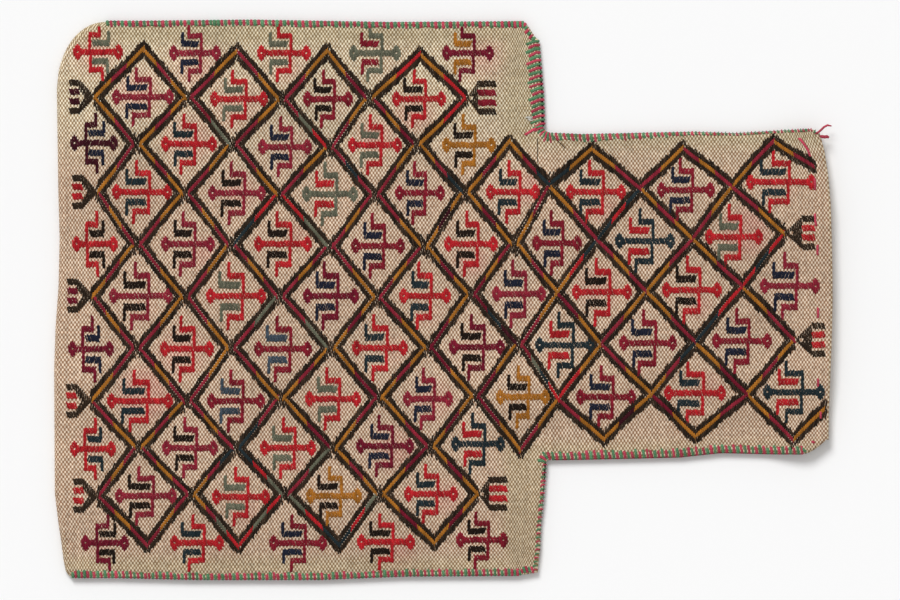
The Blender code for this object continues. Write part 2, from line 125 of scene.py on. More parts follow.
# Overcast seams: pitch, reach inwards, lean of the inner end and half width of the stitches on each edge
STITCHES = {
    ("side", 1): (0.00266, 0.0036, 0.0004, 0.00108),
    ("side", -1): (0.00265, 0.0041, -0.0005, 0.00092),
    ("shoulder", 1): (0.0029, 0.0080, 0.0024, 0.00095),
    ("shoulder", -1): (0.0029, 0.0014, -0.0009, 0.00075),
    ("neck", 1): (0.00271, 0.0044, 0.0008, 0.00088),
    ("neck", -1): (0.00271, 0.0050, -0.0009, 0.00094),
}
# Where round each inner corner its stitches sit, in shares of a quarter turn
INNER_FAN = {1: (0.04, 0.17, 0.30, 0.43, 0.56, 0.69, 0.82, 0.95), -1: (0.15, 0.38, 0.62, 0.85)}
FAN_REACH = 1.7  # how much longer those of the upper corner are
FAN_WIDTH = 0.7  # and how much narrower
NECK_FADE = (0.10, 0.22)  # where along the upper neck the stitches grow short
NECK_END = 0.262  # where along the lower neck they end
STITCH_THICK = 0.00042
STITCH_OUT = 0.0009  # how far stitches stand out beyond an edge without a cord
CORD_CLEAR = 0.0003  # and beyond the cord
SAME_AGAIN = 0.03  # how often two neighbours have one colour
# The cord along each shoulder: how far out, its plies' offset from its middle, and their radius
CORDS = {1: (0.0011, 0.0006, 0.0008), -1: (0.0008, 0.0003, 0.0005)}
# Threads along the other edges, under the stitches: how far out, radius and colour
RIM_THREADS = {
    1: [(0.0003, 0.0005, "black")],
    -1: [(0.0003, 0.0005, "black"), (0.0008, 0.0004, "rim")],
}
RIM_STEP = 0.004
CORD_STEP = 0.0008
CORD_TURN = 0.0042  # the length in which the plies go round once
CORD_RAISED = 0.0006
THREAD_SUNK = 0.0004
# Threads on the cloth: radius, or half the width and half the thickness
HEM_THREAD = (0.0009, 0.0004)
LONG_THREAD = (0.0009, 0.0005)
DARK_THREAD = 0.00028
DARK_LIFT = 0.0001
FLUFF_THREAD = 0.00030

SEED = 7

COLOURS = {
    "O": (162, 103, 36),
    "M": (134, 36, 51),
    "G": (111, 24, 42),
    "D": (126, 28, 42),
    "R": (174, 34, 40),
    "T": (34, 45, 49),
    "N": (31, 34, 49),
    "K": (31, 22, 17),
    "L": (62, 72, 82),
    "S": (99, 100, 83),
    "A": (63, 20, 30),
    "B": (47, 36, 27),
    "pink": (178, 66, 84),
    "green": (86, 132, 94),
    "rim": (142, 38, 52),
    "black": (24, 20, 18),
    "pale": (226, 224, 214),
}

# Lattice corners in the photograph, one row of the lattice to a line, from left to right
LATTICE_ROWS = """
a 143,49 237,51 327,51 420,54
b 95,97 188,97 282,99 369,98 466,98
c 137,144 233,144 329,147 417,144 509,142 592,149 683,148 773,141
d 98,192 185,193 279,194 375,194 465,192 549,185 640,188 732,186 814,167
e 137,244 231,244 330,246 424,246 514,243 597,239 692,239 784,233
f 93,296 185,297 280,296 377,297 471,294 557,292 646,291 742,286
g 137,348 231,348 331,348 428,347 519,344 601,344 695,342 794,340
h 92,401 187,401 281,398 379,397 475,396 558,399 651,394 747,394
i 138,447 236,448 333,448 430,446 520,450 603,439 695,436 793,440
j 99,496 191,494 285,494 380,494 477,494 825,408
k 147,545 238,546 339,545 434,543
"""

# Bands: two corners, then the colours of the middle stripe from the first corner to the second
BANDS = """
a0b0OMO a0b1OMO a1b1OM a1b2MO a2b2OM a2b3OG a3b3RO a3b4OR b0c0OM b1c0OMO b1c1MS b2c1OM b2c2MSR b3c2OM
b3c3MOG b4c3RO c0d0MO c0d1OMO c1d1OM c1d2MO c2d2OM c2d3MTM c3d3OM c3d4OMT c4d4OMO c4d5OMT c5d5OT c5d6OM
c6d6OM c6d7MOM c7d7MO c7d8OM d0e0MOM d1e0OM d1e1MOM d2e1RT d2e2RS d3e2MOM d3e3MO d4e3OAO d4e4OGO d5e4MO
d5e5OM d6e5TRT d6e6OMO d7e6OM d7e7MO e0f0OMO e0f1MO e1f1OM e1f2MOM e2f2MOM e2f3MO e3f3MOM e3f4OGO e4f4MOG
e4f5OMO e5f5TRO e5f6MOM e6f6MO e6f7OM e7f7RTR f0g0MOM f1g0OM f1g1MO f2g1SM f2g2MS f3g2OGO f3g3MO f4g3OG
f4g4GTA f5g4OM f5g5GO f6g5OM f6g6OM f7g6RT f7g7OM g0h0MO g0h1MOM g1h1OM g1h2MO g2h2OMO g2h3OG g3h3OMO g3h4GO
g4h4OG g4h5MSTR g5h5OR g5h6MO g6h6TMO g6h7OG g7h7OMO h0i0MO h1i0OMO h1i1MOM h2i1MT h2i2OG h3i2MO h3i3OM
h4i3OGO h4i4GO h5i4OM h5i5MO h6i5OAO h6i6GO h7i6MO h7i7OM i7j5O i0j0MOM i0j1MOM i1j1TMO i1j2TRS i2j2SM
i2j3OMO i3j3GO i3j4OGO j0k0MOM j1k0MOM j1k1OMSR j2k1RSR j2k2SRT j3k2SRT j3k3OGO j4k3OGO
"""

# Hooked crosses: centre, half length, colours of the cross and of its inner hooks; < marks a mirrored one
MOTIFS = """
98,52,25:RS< 195,53,26:MN 284,53,27:RS 375,53,26:SD 468,53,26:GO 143,97,31:MN 239,99,29:RS 328,99,25:DK
419,99,27:RK 94,143,24:AN< 189,144,28:RT 285,147,27:MN 375,145,27:RS 469,145,27:OK 142,192,30:RT
237,193,29:MK 330,194,28:SR 420,193,25:DN 513,192,27:RT 596,192,30:RT 686,190,29:DN 781,182,35:RT
95,244,23:RK< 188,244,27:MK 283,244,29:RK 378,246,27:DN 471,244,27:RK 557,243,25:DN 645,241,30:TR
734,237,29:RS 141,296,32:MK 236,296,30:RS 331,296,28:GN 425,296,26:RT 519,294,27:MN 602,292,30:RK
692,290,30:RK 790,286,30:MN 91,349,23:GN< 187,349,27:RK 283,349,29:DL 380,348,28:RT 477,347,28:GK
565,345,30:TR 648,343,29:DN 742,341,30:DN 140,401,33:RT 236,401,29:DL 333,399,28:RS 428,399,25:MN
523,397,27:OK 606,397,30:DN 695,393,31:RT 794,392,31:TR 93,449,23:RT< 190,448,28:MK 288,448,28:RS
385,446,29:GN 478,444,27:TR 146,496,31:MK 241,497,29:RS 334,496,28:OK 431,494,27:RT 105,543,24:GK<
197,543,27:RT 298,543,29:DN 386,542,29:RK 482,540,26:DK
"""

# How far the crosses reach up and down, by their pixel row
CROSS_REACH = "52,28.5 97,29 144,30 192,31.5 244,32.5 296,34 347,33 399,31 447,30.5 496,29.5 542,28"
FORM_END = 25  # from the middle of the one form that all crosses follow to its end diamonds
FORM_REACH = 29.5  # from its middle up or down to its hooks' tips
DIAMOND_HALF = 4.6
MIRRORED_SHIFT = 2.5  # how much further out the line across a mirrored one stands

# Combs beyond outer corners of the lattice: the corner, the way it points and its inner teeth's colour
COMBS = "b0<A d0<R f0<G h0<R j0<R b4>D j4>R e7>R g7>R"

# The hem's running stitches, as places in the photograph
HEM_STITCHES = """
798,138 800,139 804,144 808,150 810,156 810,158
814.5,177 814.5,179 815,184 815,189 815,191
815,213 815,215 815,220 816,225 816,227
817.5,244 817.5,246 817.5,250 817.5,254 817.5,256
818,307 818,309 818,313 818,317 818,319
818,378 818,380 818,383 818,386 818,388
820.7,410 820.7,412 820.7,415 820.7,418 820.7,420
811,441 812,441.5 813,442 814,442.5 815,443
"""
MENDING = "553,136 556,139 559,142 562,145 565,148 566,149"
CREASE = "537,137 537.4,139 537.8,147 537.2,156 538,164 538.2,167"
LONG_STITCH = "537,127 535.5,128 532,130.5 528,133 525.5,134.5 524.5,135"
# The loose ends' routes, with heights over the cloth at the mouth's corner, and their radii
LOOSE_ENDS = {
    "thread_tail_long": (
        "815,133.5,0 818,132.5,.0004 821,130,.0004 824,127,0 827.5,125.2,-.0006 831.5,126,-.0012", 0.0008),
    "thread_tail_short": (
        "820,136,-.0002 822,136.6,.0004 825,137,0 827,136.6,-.0006 829,137.4,-.001", 0.0012),
}

# How the outline departs from the even bag: places along an edge and shifts, in millimetres
LEFT_WOBBLE = millimetres("-201,4 -180,3.5 -160,1 -140,-1.5 -50,-2 -20,-1 10,1.2 45,2 80,1 150,0")
MOUTH_WOBBLE = millimetres("-112,.5 -80,-.5 0,.5 70,.2 90,-.9 106,-2.8 121,-6.6")
TOP_WOBBLE = millimetres(
    "-280,0 -220,-.3 -140,.5 -40,-1.2 60,-.6 78,-1.2 100,-2.2 180,-.4 210,-1.4 250,1 280,2")
BOTTOM_WOBBLE = millimetres(
    "-280,1.2 -240,1.2 -180,-.2 -90,-.2 -30,2.2 60,2.8 78,-2.2 120,-1.4 170,-.2 200,3 240,2 280,2")
UPPER_SHOULDER_DRAW = millimetres("105,0 119,-1 128,-2.8 150,-3 166,-3.8 189,-5.2 201,-6")
LOWER_SHOULDER_DRAW = millimetres("105,0 127,-1.1 144.5,-2.1 162,-3.6 179,-4 188,-5.1 201,-6")
WOBBLE_REACH = 0.030  # how far into the cloth such a shift fades out
SHOULDER_SLOPE = 0.002  # how much the sewn shoulder leans in towards its outer end
TOUCH = 0.0001  # a margin for rounding

# How strongly each yarn's dye has bled into the cloth; the others do by WEAK_DYE
DYE_STRENGTH = {"R": 1.3, "M": 0.9, "D": 0.6, "G": 0.9}
WEAK_DYE = 0.25
BEHIND = (0.25, 0.5, 1.0)  # the three tints on the sides without the pattern

# Light: the lamp's strength, softness and turn in degrees, and how bright the white world is as a light
KEY_ENERGY = 2.0
KEY_SOFTNESS = 25
KEY_TURN = (-38, -18, 0)
WORLD_LIGHT = 0.55
FLOOR_REACH = 6.0
FLOOR_WHITE = 0.93


def spot(px, py):
    """The place in the frame of a pixel of the photograph."""
    return (px - PHOTO_MIDDLE[0]) * PIXEL, (PHOTO_MIDDLE[1] - py) * PIXEL


def smooth(share):
    share = np.clip(share, 0, 1)
    return share * share * (3 - 2 * share)


def past(value, start, over):
    """0 before the start, rising softly to 1."""
    return smooth((value - start) / over)


def blend(a, b, share):
    return a + (b - a) * share


def linear(colour):
    """A colour of 0 to 255 as it is seen, in Blender's linear values."""
    c = np.asarray(colour, float) / 255
    return np.where(c <= 0.04045, c / 12.92, ((c + 0.055) / 1.055) ** 2.4)


# The bag's shape

def seam_edges():
    """The sewn edges: side, shoulder and neck, above and below."""
    edges = []
    for sign, neck, corner in ((1, NECK_TOP, UPPER_BASE_CORNER), (-1, NECK_BOTTOM, LOWER_BASE_CORNER)):
        end = MOUTH_NOTCH if sign > 0 else MOUTH_CORNER
        cut = SHOULDER_CORNERS[sign]
        turn = (SHOULDER_X - SHOULDER_SLOPE, sign * (SIDE_Y - cut[1]))
        side = [(BASE_X + corner[0], sign * SIDE_Y), (SHOULDER_X - cut[0], sign * SIDE_Y), turn]
        shoulder = [turn, (SHOULDER_X, neck + sign * INNER_CORNER)]
        along = [
            (SHOULDER_X + INNER_CORNER, neck), (MOUTH_X - MOUTH_BOW - end[0], neck),
            (MOUTH_X - MOUTH_BOW, neck - sign * end[1]),
        ]
        edges += [("side", sign, side), ("shoulder", sign, shoulder), ("neck", sign, along)]
    return edges


def seam_distance(x, y):
    nearest = np.full(np.shape(x), 1.0)
    for _, _, edge in SEAMS:
        for (ax, ay), (bx, by) in zip(edge, edge[1:]):
            rx, ry = bx - ax, by - ay
            share = np.clip(((x - ax) * rx + (y - ay) * ry) / (rx * rx + ry * ry), 0, 1)
            nearest = np.minimum(nearest, np.hypot(x - ax - rx * share, y - ay - ry * share))
    return nearest


def layer_heights(x, y):
    """Underside of the back layer and upper side of the front layer."""
    inward = seam_distance(x, y)
    hemmed = past(x, MOUTH_X - MOUTH_FLARE, MOUTH_FLARE - HEM_LEVEL)
    apart = blend(BASE_GAP, POCKET_GAP, past(x, BASE_X, SAG))
    apart = blend(apart, MOUTH_CLEAR + 2 * HEM_STACK, hemmed)
    closed = blend(SEAM_GAP, 2 * HEM_STACK + SEAM_GAP, hemmed)
    lift = SEAM_LIFT * (1 - smooth(inward / LIFT_IN))
    gap = blend(closed, apart, smooth(inward / SAG))
    ripple = RIPPLE * np.sin(x * 61 + 1) * np.sin(y * 47 + x * 23) * smooth(inward / LIFT_IN)
    return lift, lift + 2 * CLOTH + gap + ripple


def warp(x, y):
    """The small unevenness of the handmade outline: plan places of the even bag, moved."""
    body = x < SHOULDER_X + TOUCH
    top = np.where(body, SIDE_Y, NECK_TOP)
    bottom = np.where(body, -SIDE_Y, NECK_BOTTOM)

    def fading(inward):
        return 1 - smooth(inward / WOBBLE_REACH)

    drawn = np.where(y > 0, np.interp(y, *UPPER_SHOULDER_DRAW), np.interp(-y, *LOWER_SHOULDER_DRAW))
    dx = np.interp(y, *LEFT_WOBBLE) * fading(x - BASE_X) + np.interp(y, *MOUTH_WOBBLE) * fading(MOUTH_X - x)
    dx = dx + drawn * fading(np.abs(SHOULDER_X - x))
    dy = np.interp(x, *TOP_WOBBLE) * fading(top - y) + np.interp(x, *BOTTOM_WOBBLE) * fading(y - bottom)
    return x + dx, y + dy


def sloped(x, y):
    """The cloth's even grid, moved so that its edge at the shoulders lies on the sloping seam."""
    out = np.clip((np.abs(y) - NECK_TOP) / (SIDE_Y - SHOULDER_CORNERS[1][1] - NECK_TOP), 0, 1)
    return x - SHOULDER_SLOPE * out * (1 - smooth((SHOULDER_X - x) / LIFT_IN)) * (x < SHOULDER_X + TOUCH)


# The woven cloth

def rim_reach(x, corner):
    """How far a layer's level part stays inside the outline: a fold's reach at the base, none at seams."""
    return FOLD_REACH * (1 - float(smooth((x - BASE_X - corner[0]) / FOLD_FADE)))


def column_limits(x):
    """The lowest and highest y of the level part of a layer at one column."""
    limits = []
    for sign, corner, neck in ((-1, LOWER_BASE_CORNER, NECK_BOTTOM), (1, UPPER_BASE_CORNER, NECK_TOP)):
        inset = rim_reach(x, corner)
        if x <= BASE_X + corner[0]:
            share = (BASE_X + corner[0] - x) / max(corner[0] - FOLD_REACH, 1e-6)
            reach = SIDE_Y - corner[1] + (corner[1] - inset) * math.sqrt(max(0, 1 - min(share, 1) ** 2))
            limits.append(sign * reach)
        elif x <= SHOULDER_X + 1e-6:
            long, short = SHOULDER_CORNERS[sign]
            cut = max(0, x - (SHOULDER_X - long)) / long
            limits.append(sign * (SIDE_Y - inset - short * cut ** 2))
        else:
            end = MOUTH_NOTCH if sign > 0 else MOUTH_CORNER
            fillet = max(0, 1 - (x - SHOULDER_X) / INNER_CORNER)
            cut = max(0, x - (MOUTH_X - end[0])) / end[0]
            limits.append(neck + sign * (INNER_CORNER * fillet ** 2 - end[1] * cut ** 1.5))
    return limits


def weave_columns():
    body = round((SHOULDER_X - BASE_X - FOLD_REACH) / COLUMN)
    neck = round((MOUTH_X - SHOULDER_X) / COLUMN)
    left = np.linspace(BASE_X + FOLD_REACH, SHOULDER_X, body + 1)
    return np.concatenate([left, np.linspace(SHOULDER_X, MOUTH_X, neck + 1)[1:]]), body


def woven_front():
    """The front as a grid: places, weave coordinates, faces, and the rim with its span along the mouth."""
    columns, shoulder = weave_columns()
    places, coordinates, rows, faces = [], [], [], []
    for i, x in enumerate(columns):
        low, high = column_limits(x)
        first, last = math.floor(low / ROW + 0.65), math.ceil(high / ROW - 0.65)
        ids = {}
        for j in range(first, last + 1):
            y = low if j == first else high if j == last else j * ROW
            ids[j] = len(places)
            places.append((x, y))
            coordinates.append((i, y / ROW))
        rows.append((first, last, ids))
    for i in range(len(columns) - 1):
        (a_first, a_last, a), (b_first, b_last, b) = rows[i], rows[i + 1]
        if i == shoulder:
            span = range(b_first, b_last)
        else:
            span = range(min(a_first, b_first), max(a_last, b_last))
        for j in span:
            ring = [
                a[min(max(j, a_first), a_last)], b[min(max(j, b_first), b_last)],
                b[min(max(j + 1, b_first), b_last)], a[min(max(j + 1, a_first), a_last)],
            ]
            ring = [v for k, v in enumerate(ring) if v != ring[k - 1]]
            if len(ring) > 2:
                faces.append(ring)
    rim = [rows[0][2][j] for j in range(rows[0][1], rows[0][0] - 1, -1)]
    for i in range(1, len(columns)):
        first, _, ids = rows[i]
        if i == shoulder + 1:
            before_first, _, before = rows[i - 1]
            rim += [before[j] for j in range(before_first + 1, first + 1)]
        rim.append(ids[first])
    mouth_from = len(rim) - 1
    first, last, ids = rows[-1]
    rim += [ids[j] for j in range(first + 1, last + 1)]
    mouth_to = len(rim) - 1
    for i in range(len(columns) - 2, 0, -1):
        _, last, ids = rows[i]
        if i == shoulder:
            after_last = rows[i + 1][1]
            rim += [ids[j] for j in range(after_last, last)]
        rim.append(ids[last])
    return np.array(places), np.array(coordinates), faces, rim, (mouth_from, mouth_to)


def lining(rim_places):
    """A coarse triangulation of the same outline, for the sides that the weave's grid leaves out."""
    points = [Vector(p) for p in rim_places]
    count = len(points)
    x, y = np.meshgrid(
        np.arange(BASE_X + LINING_GRID, MOUTH_X - LINING_GRID / 2, LINING_GRID),
        np.arange(-SIDE_Y + LINING_GRID, SIDE_Y - LINING_GRID / 2, LINING_GRID),
    )
    x, y = x.ravel(), y.ravel()
    in_neck = (y < NECK_TOP) & (y > NECK_BOTTOM)
    inside = (seam_distance(x, y) > LINING_GRID / 2) & ((x < SHOULDER_X) | in_neck)
    points += [Vector(p) for p in zip(x[inside], y[inside])]
    made = delaunay_2d_cdt(points, [], [list(range(count))], 1, 1e-7)
    found = np.array([tuple(v) for v in made[0]])
    where = {}
    for k, origin in enumerate(made[3]):
        for source in origin:
            where[source] = k
    return found, made[2], [where[k] for k in range(count)]


def rim_profile(x, y, outward, bottom, top, reach, steps, raised):
    """Places between the front's rim and the back's. raised says which ones a fold lifts, every other one."""
    found = []
    for k in range(1, steps):
        turn = math.pi * (0.5 - k / steps)
        lift = (PIP_RISE if (k + raised) % 2 == 0 else -PIP_RISE) if steps == FOLD_STEPS else 0
        out = outward * ((reach + lift) * math.cos(turn))
        height = (top + bottom) / 2 + ((top - bottom) / 2 + lift) * math.sin(turn)
        found.append((x + out[0], y + out[1], height))
    return found


def hem_profile(height, side):
    """Places along X and Z round a hem, from the layer's outer face to its inner one. side is -1 in front."""
    outer = CLOTH + HEM_GAP / 2
    steps = 5
    found = []
    for k in range(1, steps + 1):
        turn = math.pi * k / steps
        found.append((outer * math.sin(turn), side * outer * (1 - math.cos(turn))))
    flap_low, flap_high = side * (2 * CLOTH + HEM_GAP), side * (CLOTH + HEM_GAP)
    found += [
        (-HEM, flap_low), (-HEM - HEM_EDGE, (flap_low + flap_high) / 2), (-HEM, flap_high), (0, flap_high),
        (HEM_GAP / 2, side * (CLOTH + HEM_GAP / 2)),
    ]
    return [(dx, height + dz) for dx, dz in found]


def build_cloth(finish):
    """The folded cloth as one closed body: woven front, fold, back, inner sides and the two hems."""
    places, weave, faces, rim, (mouth_from, mouth_to) = woven_front()
    top = layer_heights(places[:, 0], places[:, 1])[1]
    count = len(places)
    on_rim = np.zeros(count, bool)
    on_rim[rim] = True
    parity = np.where((weave[:, 0] + np.round(weave[:, 1])) % 2 == 0, 1, -1)
    z = top + np.where(on_rim & (weave[:, 0] > 0), 0, PIP_RISE * parity)
    vertices = [np.column_stack([places, z])]
    coordinates = [np.column_stack([weave, np.zeros(count)])]
    plan = places[rim]
    coarse, triangles, rim_at = lining(plan)
    low, high = layer_heights(coarse[:, 0], coarse[:, 1])
    scale = np.array([COLUMN, ROW])
    coarse_weave = np.column_stack([(coarse - [BASE_X + FOLD_REACH, 0]) / scale, np.ones(len(coarse))])
    back_weave = coarse_weave * [-1, 1, 1] - [FOLD_STEPS, 0, 0]
    starts = []
    for heights, uv in ((high - CLOTH, coarse_weave), (low + CLOTH, coarse_weave), (low, back_weave)):
        starts.append(count)
        vertices.append(np.column_stack([coarse, heights]))
        coordinates.append(uv)
        count += len(coarse)
    inner_front, inner_back, outer_back = starts
    for start in starts:
        faces += [[start + k for k in triangle] for triangle in triangles]

    def add(points, uvs):
        nonlocal count
        vertices.append(np.array(points, float))
        coordinates.append(np.array(uvs, float))
        count += len(points)
        return list(range(count - len(points), count))

    turns = len(rim)
    rings = {}
    sewn = [k for k in range(turns) if not mouth_from < k < mouth_to]
    for k in sewn:
        before, after = plan[k - 1], plan[(k + 1) % turns]
        along = after - before
        outward = np.array([along[1], -along[0]]) / max(np.hypot(*along), 1e-9)
        x, y = plan[k]
        corner = UPPER_BASE_CORNER if y > 0 else LOWER_BASE_CORNER
        reach = SEAM_BULGE + rim_reach(x, corner) * (1 - SEAM_BULGE / FOLD_REACH)
        if abs(x - MOUTH_X) < 1e-6:
            outward = np.array([0, math.copysign(1, y)])
        base, peak = (float(v) for v in layer_heights(x, y))
        steps = FOLD_STEPS if reach > 2 * SEAM_BULGE else RIM_STEPS
        front_uv = np.append(weave[rim[k]], 0)
        back_uv = front_uv - [FOLD_STEPS, 0, 0] if steps == FOLD_STEPS else front_uv
        points = rim_profile(x, y, outward, base, peak, reach, steps, round(weave[rim[k]].sum()))
        uvs = [blend(front_uv, back_uv, step / steps) for step in range(1, steps)]
        rings[k] = [rim[k], *add(points, uvs), outer_back + rim_at[k]]
    for k in sewn:
        following = (k + 1) % turns
        if k == mouth_from:
            continue
        if len(rings[k]) == len(rings[following]):
            for a in range(len(rings[k]) - 1):
                faces.append([rings[k][a], rings[following][a], rings[following][a + 1], rings[k][a + 1]])
        else:
            faces.append([*rings[k], *rings[following][::-1]])
        faces.append([inner_front + rim_at[k], inner_front + rim_at[following],
                      inner_back + rim_at[following], inner_back + rim_at[k]])
    hems = {}
    for k in range(mouth_from, mouth_to + 1):
        x, y = plan[k]
        base, peak = (float(v) for v in layer_heights(x, y))
        for part, height, side, outer, inner in (
            ("front", peak, -1, rim[k], inner_front + rim_at[k]),
            ("back", base, 1, outer_back + rim_at[k], inner_back + rim_at[k]),
        ):
            profile = [(x + dx, y, z) for dx, z in hem_profile(height, side)]
            run = np.cumsum([HEM_STEP] * len(profile))
            start_uv = weave[rim[k]]
            uvs = [(start_uv[0] + length / COLUMN, start_uv[1], 1) for length in run]
            hems[part, k] = [outer, *add(profile, uvs), inner]
    for part in ("front", "back"):
        for k in range(mouth_from, mouth_to):
            a, b = hems[part, k], hems[part, k + 1]
            for step in range(len(a) - 1):
                faces.append([a[step], b[step], b[step + 1], a[step + 1]])
        for k in (mouth_from, mouth_to):
            faces.append(hems[part, k])
    for k in (mouth_from, mouth_to):
        faces.append([*rings[k], inner_back + rim_at[k], inner_front + rim_at[k]])
    vertices = np.vstack(vertices)
    coordinates = np.vstack(coordinates)
    x = sloped(vertices[:, 0], vertices[:, 1])
    across = np.clip((vertices[:, 1] - MOUTH_MIDDLE) / MOUTH_WIDTH, -0.5, 0.5)
    bow = MOUTH_BOW * (np.cos(math.pi * across) - 1)
    x = x + bow * smooth((x - MOUTH_X + BOW_REACH) / BOW_REACH)
    vertices[:, 0], vertices[:, 1] = warp(x, vertices[:, 1])
    mesh = mesh_from("woven_cloth", vertices, faces)
    face_outwards(mesh)
    attribute(mesh, "weave", coordinates)
    attribute(mesh, "tint", cloth_tint(vertices, coordinates))
    return piece("bag_cloth", mesh, finish)


def cloth_tint(vertices, coordinates):
    """Tints over the cloth: red dye bled into it, the plain brown margins, and how light it is."""
    x, y = vertices[:, 0], vertices[:, 1]
    bleed = np.zeros(len(x))
    for px, py, _, main, _, _ in read_motifs():
        cx, cy = spot(px, py)
        strength = DYE_STRENGTH.get(main, WEAK_DYE) * BLEED.uniform(0.4, 1.1)
        cx, cy = cx + BLEED.uniform(-0.004, 0.012), cy + BLEED.uniform(-0.012, 0.006)
        away = (x - cx) ** 2 + (y - cy) ** 2
        bleed = np.maximum(bleed, strength * np.exp(-away / BLEED.uniform(0.012, 0.022) ** 2))
    margin = past(np.abs(y), 0.180, 0.012) * (x < SHOULDER_X)
    margin = np.maximum(margin, past(x, 0.035, 0.015) * past(np.abs(y - 0.004), 0.100, 0.015))
    upper = past(y, 0.08, 0.06)
    bleed = np.maximum(bleed, 0.38 * (1 - upper))
    light = 1.0 + 0.07 * upper - 0.04 * past(-y, 0.15, 0.04) - 0.04 * past(x, 0.08, 0.03)
    light = light + 0.07 * (1 - past(x, -0.262, 0.015)) - 0.03 * past(x, 0.255, 0.02)
    ribbed = np.maximum(1 - past(x, -0.258, 0.012), past(x, 0.262, 0.006))
    light = light + 0.05 * ribbed * np.cos(2 * math.pi * x / 0.0060)
    front = coordinates[:, 2] < 0.5
    masks = zip((bleed, margin, light), BEHIND)
    return np.column_stack([np.where(front, mask, behind) for mask, behind in masks])


# The brocaded pattern

def read_lattice():
    corners = {}
    for line in lines(LATTICE_ROWS):
        for k, place in enumerate(groups(line[2:])):
            corners[line[0] + str(k)] = place
    return corners


def read_motifs():
    found = []
    for item in MOTIFS.split():
        where, colours = item.split(":")
        px, py, half = (int(v) for v in where.split(","))
        found.append((px, py, half, colours[0], colours[1], colours.endswith("<")))
    return found


@lru_cache(maxsize=None)
def edge_rows(column):
    """The pixel rows of the front's two edges at a pixel column."""
    x = spot(column, 0)[0]
    low, high = column_limits(x)
    return [PHOTO_MIDDLE[1] - float(warp(x, y)[1]) / PIXEL for y in (high, low)]


class Floats:
    """Floats of yarn, each a stroke between two places of the photograph, kept by the piece they go into."""

    def __init__(self):
        self.strokes = {}

    def add(self, group, x, low, high, lean, colour, width=STROKE_WIDTH):
        """A leaning stroke from low to high, cut off at the cloth's edges. A long one is divided."""
        upper, lower = edge_rows(x)
        low, high = max(low, upper + EDGE_MARGIN), min(high, lower - EDGE_MARGIN)
        if high - low < SHORTEST_FLOAT:
            return
        parts = max(1, math.ceil((high - low) / LONGEST_FLOAT))
        step = (high - low) / parts
        for k in range(parts):
            a, b = low + step * k - STROKE_OVERLAP, low + step * (k + 1) + STROKE_OVERLAP
            self.strokes.setdefault(group, []).append((x - lean / 2, a, x + lean / 2, b, width, colour))

    def bar(self, group, x0, x1, y0, y1, lean, colour):
        """A bar of slanted strokes side by side."""
        count = max(1, round((x1 - x0) / STROKE_PITCH))
        for k in range(count):
            x = x0 + (k + 0.5) * (x1 - x0) / count
            ragged = RANDOM.uniform(-0.6, 0.6)
            self.add(group, x, y0 + ragged, y1 + ragged, lean, colour)


def subtract(spans, holes):
    """The parts of the spans that no hole covers."""
    for low, high in holes:
        left = []
        for a, b in spans:
            if high <= a or low >= b:
                left.append((a, b))
                continue
            if a < low:
                left.append((a, low))
            if b > high:
                left.append((high, b))
        spans = left
    return spans


def joined(spans):
    found = []
    for a, b in sorted(spans):
        if found and a <= found[-1][1]:
            found[-1] = (found[-1][0], max(b, found[-1][1]))
        else:
            found.append((a, b))
    return found


